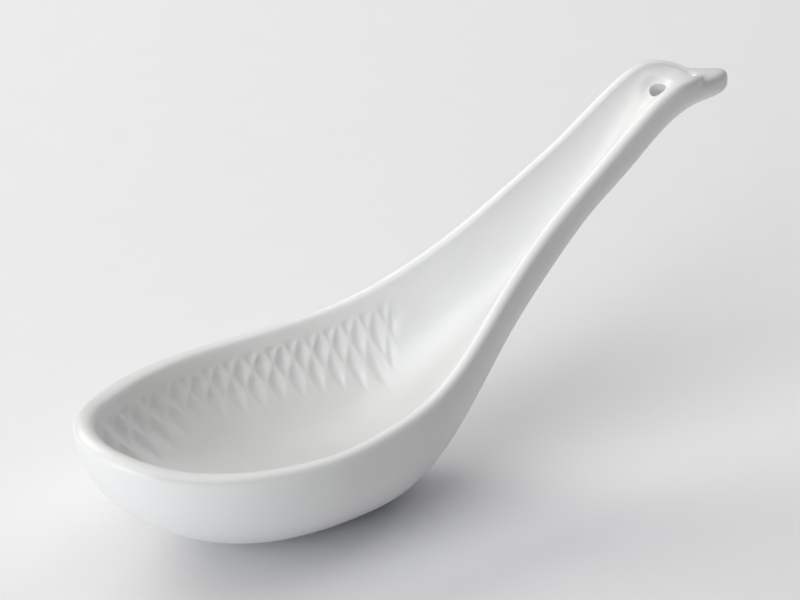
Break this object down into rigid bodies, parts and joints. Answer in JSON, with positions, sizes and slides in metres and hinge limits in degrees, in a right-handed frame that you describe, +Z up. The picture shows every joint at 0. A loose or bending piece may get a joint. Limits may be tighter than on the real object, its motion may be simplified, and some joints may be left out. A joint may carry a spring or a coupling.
{
  "type": "soup spoon",
  "caption": "Deep oval porcelain soup spoon with a flat foot, a lozenge lattice inside the bowl and a steep grooved handle with a hanging hole.",
  "frame": {"origin": "middle of the ground flat foot under the bowl, on the table plane", "axes": "+X from the bowl to the handle, +Y across the spoon, +Z up"},
  "size_m": [0.1353, 0.0466, 0.0673],
  "materials": {
    "porcelain": "glossy white glaze over white porcelain"
  },
  "bodies": {
    "root": {"spoon": "porcelain"}
  },
  "joints": []
}
